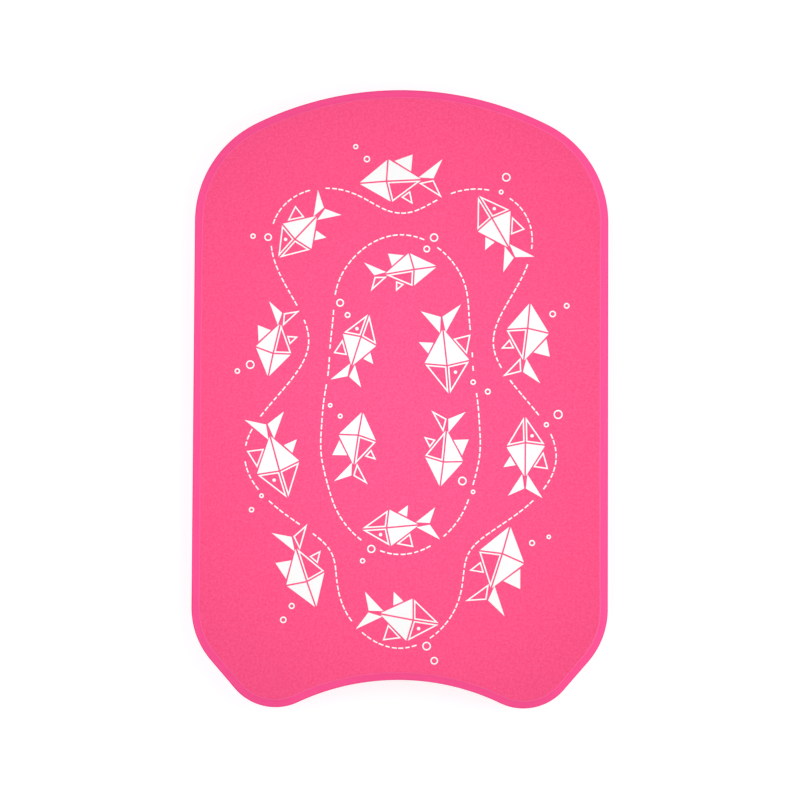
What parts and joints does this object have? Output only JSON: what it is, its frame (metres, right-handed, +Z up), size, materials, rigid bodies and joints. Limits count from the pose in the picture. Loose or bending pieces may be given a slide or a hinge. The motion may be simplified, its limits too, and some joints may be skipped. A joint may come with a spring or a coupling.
{
  "type": "kickboard float",
  "caption": "Flat laminated foam kickboard with a domed nose, straight sides, tapered flanks, a shallow scooped tail and bevelled edges.",
  "frame": {"origin": "on the base face, under the middle of the board's length and width", "axes": "+Z up out of the printed deck, +Y towards the domed nose, +X across the board"},
  "size_m": [0.2898, 0.43, 0.035],
  "materials": {
    "deck_skin": "fine-grained matt closed-cell EVA sheet, pink, printed in white",
    "foam_core": "matt cut closed-cell EVA foam, pink",
    "base_skin": "fine-grained matt closed-cell EVA sheet, pink, plain"
  },
  "bodies": {
    "root": {"deck_skin": "deck_skin", "foam_core": "foam_core", "base_skin": "base_skin"}
  },
  "joints": []
}
